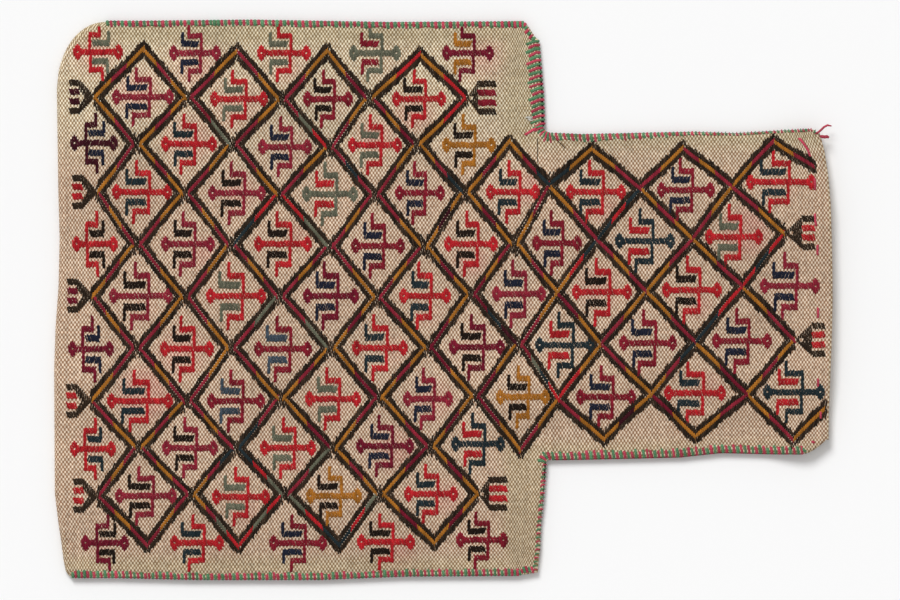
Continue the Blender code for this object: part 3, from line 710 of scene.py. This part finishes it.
def lay_lattice(floats):
    """The lattice: a coloured stripe between two dark ones along each band, laid column by column."""
    corners = read_lattice()
    bands = []
    ends, turns = {}, {}
    for item in BANDS.split():
        first, second, colours = item[:2], item[2:4], item[4:]
        if corners[first][0] > corners[second][0]:
            first, second = second, first
            colours = colours[::-1]
        bands.append((first, second, colours))
        ends.setdefault(first, []).append(1)
        ends.setdefault(second, []).append(-1)
        falls = corners[second][1] > corners[first][1]
        turns.setdefault(first, []).append(1 if falls else -1)
        turns.setdefault(second, []).append(-1 if falls else 1)
    stripes, outlines = {}, {}
    for first, second, colours in bands:
        (x0, y0), (x1, y1) = corners[first], corners[second]
        slope = (y1 - y0) / (x1 - x0)
        steep = math.hypot(1, slope)
        half = STRIPE_HALF * steep
        gaps = [
            CROSSING_GAP if sorted(ends[name]) == [-1, -1, 1, 1] and corners[name][0] < BODY_END else 0
            for name in (first, second)
        ]
        start, stop = x0 + gaps[0], x1 - gaps[1]
        drift = RANDOM.uniform(0, 6)
        for column in range(math.ceil((x0 - 2) / STROKE_PITCH), math.floor((x1 + 2) / STROKE_PITCH) + 1):
            x = column * STROKE_PITCH
            share = (x - start) / (stop - start)
            middle = y0 + (y1 - y0) * min(max(share, 0), 1)
            middle += 0.5 * math.sin(x / 7 + drift)
            lean = math.copysign(BAND_LEAN, slope)
            if start - 0.8 <= x <= stop + 0.8:
                place = min(int(min(max(share, 0), 0.999) * len(colours)), len(colours) - 1)
                stripes.setdefault(column, []).append((middle - half, middle + half, colours[place], lean))
            reach = OUTLINE_REACH["body" if x < BODY_END else "neck"] * steep
            reach = reach if start - 1 <= x <= stop + 1 else reach * 0.7
            top, foot = middle - reach, middle + reach
            for name in (first, second):
                if turns[name] == [1, 1]:
                    top = max(top, corners[name][1] - APEX_REACH)
                if turns[name] == [-1, -1]:
                    foot = min(foot, corners[name][1] + APEX_REACH)
            outlines.setdefault(column, []).append((top, foot, lean))
    for column in sorted(outlines):
        x = column * STROKE_PITCH
        group = "body" if x < BODY_END else "neck"
        taken = []
        for low, high, colour, lean in stripes.get(column, []):
            for a, b in subtract([(low, high)], taken):
                if b - a > SHORTEST_FLOAT:
                    floats.add(group + "_stripe", x, a, b, lean, colour)
            taken.append((low + OUTLINE_TUCK, high - OUTLINE_TUCK))
        covered = []
        for low, high, lean in outlines[column]:
            for a, b in subtract([(low, high)], joined(taken + covered)):
                if b - a > SHORTEST_FLOAT:
                    top = a + RANDOM.uniform(-2.2, 1.0) * (a == low)
                    foot = b + RANDOM.uniform(-1.0, 2.2) * (b == high)
                    floats.add(group + "_outline", x, top, foot, lean, "B", OUTLINE_WIDTH)
            covered.append((low, high))


def lay_motif(floats, px, py, half, main, hooks, mirrored):
    """One hooked cross: a shaft along X with a diamond at each end, a line across it with two hooks, and two
    hooks of the second colour behind the line."""
    group = "motif_" + ("upper" if py < 300 else "lower")
    way = -1 if mirrored else 1
    end = half - DIAMOND_HALF
    wide = end / FORM_END
    high = float(np.interp(py, *zip(*groups(CROSS_REACH)))) / FORM_REACH
    shift = MIRRORED_SHIFT if mirrored else 0

    def bar(x0, x1, y0, y1, lean, colour, grow=0):
        x0, x1 = px + way * (x0 * wide + shift), px + way * (x1 * wide + shift)
        x0, x1 = min(x0, x1) - grow, max(x0, x1) + grow
        floats.bar(group, x0, x1, py + y0 * high, py + y1 * high, lean * way, colour)

    def line(x, y0, y1, colour, lean=0.8):
        bar(x, x, y0, y1, lean, colour, LINE_HALF)

    floats.bar(group, px + 4 - end, px + end - 4, py - 2.6, py + 2.6, 1.8 * way, main)
    for middle in (px - end, px + end):
        for k, tall in enumerate((3.4, 6.2, 7.6, 6.2, 3.4), -2):
            spans = ((-tall, -1.3), (1.3, tall)) if k == 0 else ((-tall, tall),)
            for a, b in spans:
                floats.add(group, middle + k * STROKE_PITCH, py + a, py + b, 0.4, main, 2.2)
    stray = [RANDOM.uniform(-1.5, 1.5) for _ in range(4)]
    line(7.5 + stray[0] / 2, -19.5, -2.6, main)
    line(6.5 + stray[0] / 2, 2.6, 20.5, main)
    bar(-7 + stray[1], 8, -20, -15.2, -1.6, main)
    line(-6 + stray[1], -29.5, -17.5, main, -0.8)
    bar(-9 + stray[2], 7, 16, 20.8, 1.6, main)
    line(-8 + stray[2], 19, 29.5, main, -0.8)
    bar(-15.5 + stray[3], 4, -12.3, -6.8, -2.0, hooks)
    line(-15 + stray[3], -21, -10, hooks, -0.8)
    bar(-15.5 - stray[3] / 2, 4, 6.8, 12.3, 2.0, hooks)
    line(-15 - stray[3] / 2, 9.5, 21.5, hooks, -0.8)


def lay_comb(floats, px, py, way, teeth):
    """A comb: a dark wedge beyond a corner, hollow on the left, and four teeth, the outer two dark."""
    if way < 0:
        wedge = [(3 + 1.75 * k, 3 + 1.9 * k, max(0, 2.5 * (k - 4))) for k in range(8)]
        start, stop = 15.5, 25.5
    elif px > BODY_END:
        wedge = [(3 + 1.75 * k, 2 + 1.6 * k, 2.2 if k in (2, 3) else 0) for k in range(9)]
        start, stop = 18, 31
    else:
        wedge = [(2.5 + 1.75 * k, 2 + 2.4 * k, 2.2 if k in (1, 2) else 0) for k in range(6)]
        start, stop = 11.5, 30
    for out, tall, hollow in wedge:
        spans = ((-tall, -hollow), (hollow, tall)) if hollow > 1 else ((-tall, tall),)
        for a, b in spans:
            floats.add("comb", px + way * out, py + a, py + b, 0.8 * way, "B")
    for offset, colour in ((-14.2, "B"), (-5.2, teeth), (4.6, teeth), (13.6, "B")):
        x0, x1 = sorted((px + way * start, px + way * stop))
        floats.bar("comb", x0, x1, py + offset - 2.7, py + offset + 2.7, 2.0, colour)


def build_floats(finish):
    """The brocaded yarns as meshes, one closed strand to a float."""
    floats = Floats()
    lay_lattice(floats)
    for motif in read_motifs():
        lay_motif(floats, *motif)
    corners = read_lattice()
    for comb in COMBS.split():
        lay_comb(floats, *corners[comb[:2]], -1 if comb[2] == "<" else 1, comb[3])
    made = []
    for group, strokes in floats.strokes.items():
        made.append(strand_mesh(group + "_floats", strokes, finish))
    return made


def tube_faces(rings, sides):
    """Faces round and along a row of rings of points, closed at both ends."""
    last = (rings - 1) * sides
    faces = []
    for start in range(0, last, sides):
        for s in range(sides):
            t = (s + 1) % sides
            faces.append([start + s, start + t, start + sides + t, start + sides + s])
    return [*faces, list(range(sides))[::-1], list(range(last, last + sides))]


def strand_mesh(name, strokes, finish):
    """Every stroke as a low arched strand: four rings of four points, closed at both ends."""
    count = len(strokes)
    ends = np.array([s[:4] for s in strokes])
    x0, y0 = spot(ends[:, 0], ends[:, 1])
    x1, y1 = spot(ends[:, 2], ends[:, 3])
    width = np.array([s[4] for s in strokes]) * PIXEL * STRANDS.uniform(0.9, 1.1, count)
    length = np.maximum(np.hypot(x1 - x0, y1 - y0), 1e-6)
    ax, ay = (x1 - x0) / length, (y1 - y0) / length
    rise = STROKE_RISE * STRANDS.uniform(0.85, 1.2, count)
    slope = np.clip(STROKE_SLOPE * PIXEL / length, 0, 0.4)
    shares = (0.0, slope, 1 - slope, 1.0)
    full = (0.75, 1.0, 1.0, 0.75)
    tops = (0.4, 1.0, 1.0, 0.4)
    section = ((-0.5, 0), (-0.3, 1), (0.3, 1), (0.5, 0))
    vertices = np.zeros((count, 16, 3))
    strand = np.zeros((count, 16, 3))
    for r, (share, wide, high) in enumerate(zip(shares, full, tops)):
        cx, cy = x0 + (x1 - x0) * share, y0 + (y1 - y0) * share
        level = layer_heights(cx, cy)[1]
        for p, (across, up) in enumerate(section):
            k = r * 4 + p
            vertices[:, k, 0] = cx - ay * width * wide * across
            vertices[:, k, 1] = cy + ax * width * wide * across
            vertices[:, k, 2] = level - STROKE_SUNK + up * (STROKE_SUNK + rise * high)
            strand[:, k, 0] = share * length / width
            strand[:, k, 1] = across
    seeds = STRANDS.uniform(0, 1, count)
    strand[:, :, 2] = seeds[:, None]
    faces = (np.array(tube_faces(4, 4))[None] + (np.arange(count) * 16)[:, None, None]).reshape(-1, 4)
    mesh = mesh_from(name, vertices.reshape(-1, 3), faces)
    colours = np.array([linear(COLOURS[s[5]]) for s in strokes])
    spread = 0.34 if "outline" in name else 0.12
    shade = np.clip(STRANDS.normal(1, spread, count), 0.5, 1.8)[:, None]
    attribute(mesh, "strand", strand.reshape(-1, 3))
    attribute(mesh, "yarn", np.repeat(colours * shade, 16, axis=0))
    return piece(name, mesh, finish)


# Seams, cords and threads

def tube(points, radius, sides=6):
    """Vertices, faces and strand coordinates of a thread along the points, closed at both ends.

    radius is one number, or half the width and half the thickness of a flattened thread."""
    wide, deep = radius if isinstance(radius, tuple) else (radius, radius)
    points = [Vector(p) for p in points]
    vertices, strand = [], []
    run = 0
    side = None
    for k, point in enumerate(points):
        ahead = points[min(k + 1, len(points) - 1)] - points[max(k - 1, 0)]
        ahead.normalize()
        if side is None:
            side = ahead.cross(Vector((0, 0, 1)) if abs(ahead.z) < 0.9 else Vector((1, 0, 0))).normalized()
        side = (side - ahead * side.dot(ahead)).normalized()
        up = ahead.cross(side)
        run += (point - points[k - 1]).length if k else 0
        size = 0.6 if k in (0, len(points) - 1) else 1
        for s in range(sides):
            turn = 2 * math.pi * s / sides
            over = up * (math.sin(turn) * deep * size)
            vertices.append(point + side * (math.cos(turn) * wide * size) + over)
            strand.append((run / (2 * wide), abs(s / sides - 0.5) * 2))
    return vertices, tube_faces(len(points), sides), strand


def threads(name, runs, finish):
    """One piece from several threads. Each is (points, radius, colour)."""
    vertices, faces, strand, yarn = [], [], [], []
    for points, radius, colour in runs:
        v, f, s = tube(points, radius)
        seed = STRANDS.uniform(0, 1)
        faces += [[len(vertices) + k for k in face] for face in f]
        vertices += v
        strand += [(a, b, seed) for a, b in s]
        shade = STRANDS.normal(1, 0.08)
        yarn += [linear(COLOURS[colour]) * shade] * len(v)
    mesh = mesh_from(name, np.array([tuple(v) for v in vertices]), faces)
    attribute(mesh, "strand", np.array(strand))
    attribute(mesh, "yarn", np.array(yarn))
    return piece(name, mesh, finish)


def along_edge(edge, pitch):
    """Places along an edge with the direction along it and the outward one."""
    found = []
    for (ax, ay), (bx, by) in zip(edge, edge[1:]):
        length = math.hypot(bx - ax, by - ay)
        count = max(1, round(length / pitch))
        tx, ty = (bx - ax) / length, (by - ay) / length
        for k in range(count):
            share = (k + 0.5) / count
            found.append((ax + (bx - ax) * share, ay + (by - ay) * share, tx, ty))
    return found


def overcast(kind, sign, edge):
    """The stitches of one seam: each goes in through the front, round both edges and in through the back."""
    pitch, reach, lean, wide = STITCHES[kind, sign]
    outside = sum(CORDS[sign]) + CORD_CLEAR if kind == "shoulder" else STITCH_OUT
    phase = 0
    places = [(x, y, tx, ty, 0) for x, y, tx, ty in along_edge(edge, pitch)]
    if kind == "neck":
        places = inner_corner(sign) + [place for place in places if sign > 0 or place[0] < NECK_END]
    runs = []
    for k, (x, y, tx, ty, fan) in enumerate(places):
        nx, ny = -ty * sign, tx * sign
        length = reach * RANDOM.uniform(0.75, 1.2) * (FAN_REACH if fan and sign > 0 else 1)
        if kind == "neck" and sign > 0:
            length *= 1 - 0.8 * float(past(x, NECK_FADE[0], NECK_FADE[1] - NECK_FADE[0]))
        drift = lean * RANDOM.uniform(0.7, 1.3)
        route = (
            (-length, drift, 1, -0.0006),
            (-length + 0.0006, drift * 0.95, 1, STITCH_THICK * 0.7),
            (-length * 0.5, drift * 0.5, 1, STITCH_THICK),
            (-0.0003, 0, 1, STITCH_THICK * 0.8),
            (outside * 0.75, 0, 0.5, STITCH_THICK),
            (outside, 0, 0, 0),
            (outside * 0.75, 0, -0.5, -STITCH_THICK),
            (-0.0003, -drift * 0.2, -1, -STITCH_THICK * 0.8),
            (-0.0030, -drift * 0.4, -1, -STITCH_THICK * 0.8),
            (-0.0036, -drift * 0.5, -1, 0.0006),
        )
        points = [stitch_point(x, y, (nx, ny), (tx, ty), *step) for step in route]
        phase += 1 if RANDOM.random() < SAME_AGAIN else 0
        shade = "pink" if (k + phase) % 2 else "green"
        width = wide * RANDOM.uniform(0.8, 1.15) * (FAN_WIDTH if fan and sign > 0 else 1)
        runs.append((points, (width, STITCH_THICK), shade))
    return runs


def stitch_point(x, y, outward, along, out, drift, level, up):
    """A place on a stitch: out beyond the edge, drift along it, level 1 in front and -1 behind, and up."""
    inside = min(out, 0)
    px, py = x + outward[0] * inside + along[0] * drift, y + outward[1] * inside + along[1] * drift
    base, peak = (float(v) for v in layer_heights(px, py))
    wx, wy = warp(px, py)
    outside = max(out, 0)
    height = (base + peak) / 2 + (peak - base) / 2 * level + up
    return float(wx) + outward[0] * outside, float(wy) + outward[1] * outside, height


def rim_threads(kind, sign, edge):
    """Threads that run along an edge at mid height, seen between its stitches."""
    runs = []
    for out, radius, shade in RIM_THREADS[sign]:
        if shade == "rim" and kind == "side":
            continue
        points = [
            stitch_point(x, y, (-ty * sign, tx * sign), (tx, ty), out, 0, 0, 0)
            for x, y, tx, ty in along_edge(edge, RIM_STEP)
        ]
        runs.append((points, radius, shade))
    return runs


def inner_corner(sign):
    """Places round the inner corner, between the shoulder's stitches and the neck's."""
    neck = NECK_TOP if sign > 0 else NECK_BOTTOM
    middle = (SHOULDER_X + INNER_CORNER, neck + sign * INNER_CORNER)
    places = []
    for turn in INNER_FAN[sign]:
        angle = turn * math.pi / 2
        nx, ny = math.cos(angle), math.sin(angle) * sign
        x, y = middle[0] - INNER_CORNER * nx, middle[1] - INNER_CORNER * ny
        places.append((x, y, ny * sign, -nx * sign, 1))
    return places


def build_seams(finish):
    made = []
    for kind, sign, edge in SEAMS:
        half = "upper" if sign > 0 else "lower"
        name = f"{kind}_overcast_{half}"
        runs = overcast(kind, sign, edge)
        if kind != "shoulder":
            runs += rim_threads(kind, sign, edge)
        stitches = threads("stitches_" + name, runs, finish)
        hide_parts(name)
        made.append(stitches)
        if kind == "shoulder":
            cord_name = "shoulder_cord_" + half
            cord = threads("twisted_" + cord_name, twisted_cord(sign, edge), finish)
            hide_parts(cord_name)
            made.append(cord)
    return made


def twisted_cord(sign, edge):
    """Two plies wound round each other along the shoulder's edge."""
    (ax, ay), (bx, by) = edge
    outside, offset, radius = CORDS[sign]
    length = math.hypot(bx - ax, by - ay)
    tx, ty = (bx - ax) / length, (by - ay) / length
    nx, ny = -ty * sign, tx * sign
    steps = round(length / CORD_STEP)
    plies = []
    for ply in (0, math.pi):
        points = []
        for k in range(steps + 1):
            run = length * k / steps
            turn = 2 * math.pi * run / CORD_TURN + ply
            out = outside + offset * math.cos(turn)
            x, y = warp(ax + tx * run, ay + ty * run)
            base, peak = layer_heights(ax + tx * run, ay + ty * run)
            height = float(base + peak) / 2 + CORD_RAISED + offset * math.sin(turn)
            points.append((float(x) + nx * out, float(y) + ny * out, height))
        plies.append((points, radius, "black"))
    return plies


def surface_run(places, lift=THREAD_SUNK):
    """A thread on the front through pixels of the photograph, sunk at both ends."""
    points = []
    for k, (px, py) in enumerate(places):
        x, y = spot(px, py)
        height = float(layer_heights(x, y)[1])
        points.append((x, y, height + (-THREAD_SUNK if k in (0, len(places) - 1) else lift)))
    return points


def build_loose_threads(finish):
    """The hem's running stitches, mending threads, a wisp of wool, and the two loose ends at the mouth."""
    runs = [(surface_run(groups(line)), HEM_THREAD, "pink") for line in lines(HEM_STITCHES)]
    made = [threads("hem_running_stitches", runs, finish)]
    dark = [(surface_run(groups(run), DARK_LIFT), DARK_THREAD, "B") for run in (MENDING, CREASE)]
    made.append(threads("mending_thread", dark, finish))
    stitch = [(surface_run(groups(LONG_STITCH)), LONG_THREAD, "pink")]
    made.append(threads("long_stitch", stitch, finish))
    fluff = []
    for _ in range(9):
        px, py = RANDOM.uniform(525, 528), RANDOM.uniform(117.5, 120)
        rise, fall = RANDOM.uniform(0, 1), RANDOM.uniform(-0.8, 1)
        run = [(px, py), (px + 1.5, py - rise), (px + 4, py - fall), (px + 6.5, py - 1)]
        fluff.append((surface_run(run, RANDOM.uniform(0.0006, 0.0014)), FLUFF_THREAD, "pale"))
    made.append(threads("wool_fluff", fluff, finish))
    corner_height = float(layer_heights(MOUTH_X - MOUTH_BOW, NECK_TOP - MOUTH_NOTCH[1])[1])
    for name, (route, radius) in LOOSE_ENDS.items():
        points = [(*spot(px, py), corner_height + up) for px, py, up in groups(route)]
        loose = threads("loose_" + name, [(points, radius, "pink")], finish)
        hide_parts(name)
        made.append(loose)
    return made


# Meshes and materials

def mesh_from(name, vertices, faces):
    mesh = bpy.data.meshes.new(name)
    if isinstance(faces, np.ndarray):
        faces = faces.tolist()
    mesh.from_pydata(vertices.tolist(), [], faces)
    mesh.validate()
    return mesh


def face_outwards(mesh):
    whole = bmesh.new()
    whole.from_mesh(mesh)
    bmesh.ops.recalc_face_normals(whole, faces=whole.faces)
    whole.to_mesh(mesh)
    whole.free()


def attribute(mesh, name, values):
    layer = mesh.attributes.new(name, "FLOAT_VECTOR", "POINT")
    layer.data.foreach_set("vector", np.ascontiguousarray(values, dtype=np.float32).ravel())


def piece(name, mesh, finish):
    """An object of the bag: smooth, with its material, riding on the bag's one body."""
    mesh.shade_smooth()
    made = bpy.data.objects.new(name, mesh)
    mesh.materials.append(finish)
    bpy.context.scene.collection.objects.link(made)
    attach(made, "root")
    return made


class Shader:
    """Short ways to add and join the nodes of a material or of the world."""

    def __init__(self, owner, surface="Principled BSDF"):
        owner.use_nodes = True
        self.owner = owner
        self.tree = owner.node_tree
        self.surface = self.tree.nodes[surface]

    def node(self, kind, inputs=None, **settings):
        made = self.tree.nodes.new("ShaderNode" + kind)
        for key, value in settings.items():
            setattr(made, key, value)
        for key, value in (inputs or {}).items():
            if hasattr(value, "is_output"):
                self.tree.links.new(value, made.inputs[key])
            else:
                made.inputs[key].default_value = value
        return made

    def math(self, operation, a, b=0.0):
        return self.node("Math", {0: a, 1: b}, operation=operation).outputs[0]

    def times(self, a, b):
        return self.math("MULTIPLY", a, b)

    def plus(self, total, *others):
        for other in others:
            total = self.math("ADD", total, other)
        return total

    def mix(self, share, a, b, way="MIX"):
        return self.node("Mix", {0: share, 6: a, 7: b}, data_type="RGBA", blend_type=way).outputs[2]

    def shaded(self, colour, shade):
        grey = self.node("CombineXYZ", {0: shade, 1: shade, 2: shade}).outputs[0]
        return self.mix(1.0, colour, grey, "MULTIPLY")

    def remap(self, value, low, high, to_low=0.0, to_high=1.0, kind="SMOOTHSTEP"):
        inputs = {"Value": value, "From Min": low, "From Max": high, "To Min": to_low, "To Max": to_high}
        return self.node("MapRange", inputs, interpolation_type=kind).outputs[0]

    def parts(self, name):
        """The three parts of a mesh's attribute."""
        vector = self.node("Attribute", attribute_name=name).outputs["Vector"]
        return self.node("SeparateXYZ", {0: vector}).outputs

    def noise(self, scale, vector, detail, distortion=0.0):
        inputs = {"Vector": vector, "Scale": scale, "Detail": detail, "Distortion": distortion}
        return self.node("TexNoise", inputs).outputs["Fac"]

    def chance(self, x, y, z):
        """A number of its own for each place."""
        place = self.node("CombineXYZ", {0: x, 1: y, 2: z}).outputs[0]
        return self.node("TexWhiteNoise", {"Vector": place}).outputs["Value"]

    def finish(self, colour, height, depth, roughness, specular):
        bump = self.node("Bump", {"Height": height, "Distance": depth, "Strength": 1.0})
        self.tree.links.new(colour, self.surface.inputs["Base Color"])
        self.tree.links.new(bump.outputs[0], self.surface.inputs["Normal"])
        self.surface.inputs["Roughness"].default_value = roughness
        self.surface.inputs["Specular IOR Level"].default_value = specular
        return self.owner


def rgba(*colour):
    return (*(float(c) for c in linear(colour)), 1.0)


def cloth_material():
    """Undyed wool in plain weave: pale pips over darker gaps, whose tan is partly the warp's own colour and
    partly painted shade between the raised pips; uneven threads, dye bled in by the pattern.
    """
    s = Shader(bpy.data.materials.new("undyed_wool_weave"))
    u, v, _ = s.parts("weave")
    dye, margin, light = s.parts("tint")
    place = s.node("TexCoord").outputs["Object"]
    shift = s.times(s.math("SUBTRACT", s.noise(160.0, place, 1.0), 0.5), 0.35)
    across = s.math("COSINE", s.times(s.plus(u, shift), math.pi))
    along = s.math("COSINE", s.times(s.plus(v, shift), math.pi))
    size = s.times(s.math("SUBTRACT", s.noise(420.0, place, 1.0), 0.5), 0.9)
    pip = s.remap(s.plus(s.times(across, along), size), -0.35, 0.55)
    margin = s.times(margin, 0.6)
    pale = s.mix(margin, s.mix(dye, rgba(226, 214, 188), rgba(226, 190, 170)), rgba(212, 198, 166))
    # the gaps' colour: partly the warp's own tan, partly painted shade in the low places between the raised
    # pips
    gap = s.mix(margin, s.mix(dye, rgba(142, 116, 84), rgba(148, 92, 74)), rgba(132, 112, 76))
    column, row = s.math("ROUND", u), s.math("ROUND", v)
    cloud = s.remap(s.noise(11.0, place, 3.0), 0.3, 0.7, -0.08, 0.08)
    shade = s.plus(
        s.times(s.chance(column, 0.0, 0.0), 0.10), s.times(s.chance(0.0, row, 3.0), 0.10),
        s.times(s.chance(column, row, 5.0), 0.26), 0.77, cloud,
    )
    colour = s.shaded(s.mix(pip, gap, pale), s.times(shade, light))
    height = s.plus(s.times(pip, 0.8), s.times(s.noise(2600.0, place, 3.0, 0.6), 0.35))
    return s.finish(colour, height, 0.00022, 0.95, 0.25)


def yarn_material():
    """Plied wool yarn: its own colour with painted shade along the grooves of the twist, worn fibres and
    small changes of dye.
    """
    s = Shader(bpy.data.materials.new("plied_wool_yarn"))
    base = s.node("Attribute", attribute_name="yarn").outputs["Color"]
    along, across, seed = s.parts("strand")
    place = s.node("TexCoord").outputs["Object"]
    twist = s.plus(s.times(along, 7.0), s.times(across, 5.0), s.times(seed, 40.0))
    ply = s.remap(s.math("SINE", twist), -1.0, 1.0, 0.0, 1.0, "LINEAR")
    fibre = s.noise(2400.0, place, 3.0, 0.5)
    dye = s.remap(s.noise(90.0, place, 2.0), 0.3, 0.7, 0.85, 1.15)
    # painted shade: the yarn's colour darkens where ply is low, in the grooves between the plies
    shade = s.times(dye, s.plus(s.times(ply, 0.28), 0.82))
    shade = s.times(shade, s.remap(fibre, 0.3, 0.7, 0.86, 1.14))
    height = s.plus(s.times(ply, 0.6), s.times(fibre, 0.5))
    return s.finish(s.shaded(base, shade), height, 0.00018, 0.85, 0.08)


# Stage, light and camera

def build_stage():
    mesh = bpy.data.meshes.new("floor")
    far = FLOOR_REACH
    mesh.from_pydata([(-far, -far, 0), (far, -far, 0), (far, far, 0), (-far, far, 0)], [], [(0, 1, 2, 3)])
    floor = bpy.data.objects.new("floor", mesh)
    s = Shader(bpy.data.materials.new("pale_floor"))
    s.surface.inputs["Base Color"].default_value = (FLOOR_WHITE, FLOOR_WHITE, FLOOR_WHITE, 1)
    s.surface.inputs["Roughness"].default_value = 0.9
    mesh.materials.append(s.owner)
    bpy.context.scene.collection.objects.link(floor)


def build_light():
    """A white world, dimmer as a light than it looks, and one soft lamp."""
    scene = bpy.context.scene
    scene.world = bpy.data.worlds.new("soft_white")
    s = Shader(scene.world, "Background")
    s.surface.inputs["Color"].default_value = (1, 1, 1, 1)
    rays = s.node("LightPath").outputs
    seen = s.math("MAXIMUM", rays["Is Camera Ray"], rays["Is Glossy Ray"])
    s.tree.links.new(s.remap(seen, 0.0, 1.0, WORLD_LIGHT, 1.0, "LINEAR"), s.surface.inputs["Strength"])
    lamp = bpy.data.lights.new("key", "SUN")
    lamp.energy = KEY_ENERGY
    lamp.angle = math.radians(KEY_SOFTNESS)
    key = bpy.data.objects.new("key", lamp)
    key.rotation_euler = [math.radians(angle) for angle in KEY_TURN]
    scene.collection.objects.link(key)
    scene.view_settings.view_transform = "Standard"


def build_camera():
    camera = bpy.data.cameras.new("camera")
    camera.type = "ORTHO"
    camera.ortho_scale = PHOTO_SIZE[0] * PIXEL
    camera.clip_end = 10
    made = bpy.data.objects.new("camera", camera)
    x, y = spot(PHOTO_SIZE[0] / 2, PHOTO_SIZE[1] / 2)
    made.location = (x, y, CAMERA_HEIGHT)
    bpy.context.scene.collection.objects.link(made)
    bpy.context.scene.camera = made


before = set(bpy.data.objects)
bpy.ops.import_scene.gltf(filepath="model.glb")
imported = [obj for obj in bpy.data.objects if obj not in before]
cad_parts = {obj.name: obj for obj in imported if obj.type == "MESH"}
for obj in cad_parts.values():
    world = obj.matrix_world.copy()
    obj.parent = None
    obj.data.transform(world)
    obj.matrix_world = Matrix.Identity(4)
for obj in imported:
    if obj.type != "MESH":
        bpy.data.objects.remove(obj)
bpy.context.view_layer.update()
BASE_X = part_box("woven_cloth")[0].x
MOUTH_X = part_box("woven_cloth")[1].x - HEM_ROLL
SHOULDER_X = BASE_X + BODY_LENGTH
SEAMS = seam_edges()
RANDOM = random.Random(SEED)
STRANDS = np.random.default_rng(SEED)
BLEED = random.Random(SEED)

build_camera()
build_light()
build_stage()
cloth = build_cloth(cloth_material())
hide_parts("woven_cloth")
yarn = yarn_material()
on_cloth = build_floats(yarn) + build_seams(yarn) + build_loose_threads(yarn)
